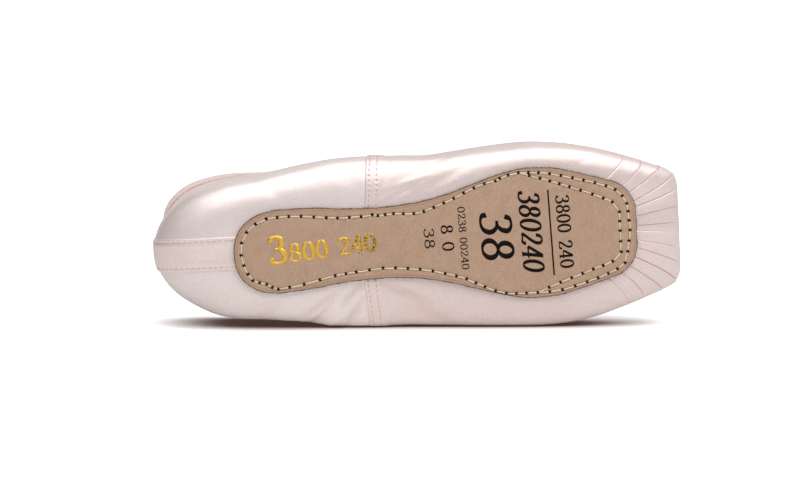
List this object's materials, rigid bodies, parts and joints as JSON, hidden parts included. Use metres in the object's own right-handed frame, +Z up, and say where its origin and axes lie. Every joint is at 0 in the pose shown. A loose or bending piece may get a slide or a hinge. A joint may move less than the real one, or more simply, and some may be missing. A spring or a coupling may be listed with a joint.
{
  "type": "demi-pointe shoe",
  "caption": "Soft-toed pointe shoe in pale satin with a flat pleated toe platform, a bound collar and a hand-stitched leather outsole, lying empty on its side.",
  "frame": {"origin": "middle of the bounding box on the surface that the shoe lies on", "axes": "+X towards the toe platform, +Z up, -Y the way the outsole faces; the collar opens towards +Y and the shoe's left side is down"},
  "size_m": [0.2386, 0.0544, 0.0831],
  "materials": {
    "satin": "pale pink satin, glossy along the thread and soft across it, over a cotton lining",
    "binding": "ribbed cotton tape cut on the bias, matt",
    "suede": "tan split leather with a fine nap, a darker cut edge and cream thread",
    "sock_lining": "cream cotton canvas over board, matt"
  },
  "bodies": {
    "root": {"upper": "satin", "collar_binding": "binding", "outsole": "suede", "insole": "sock_lining"}
  },
  "joints": []
}
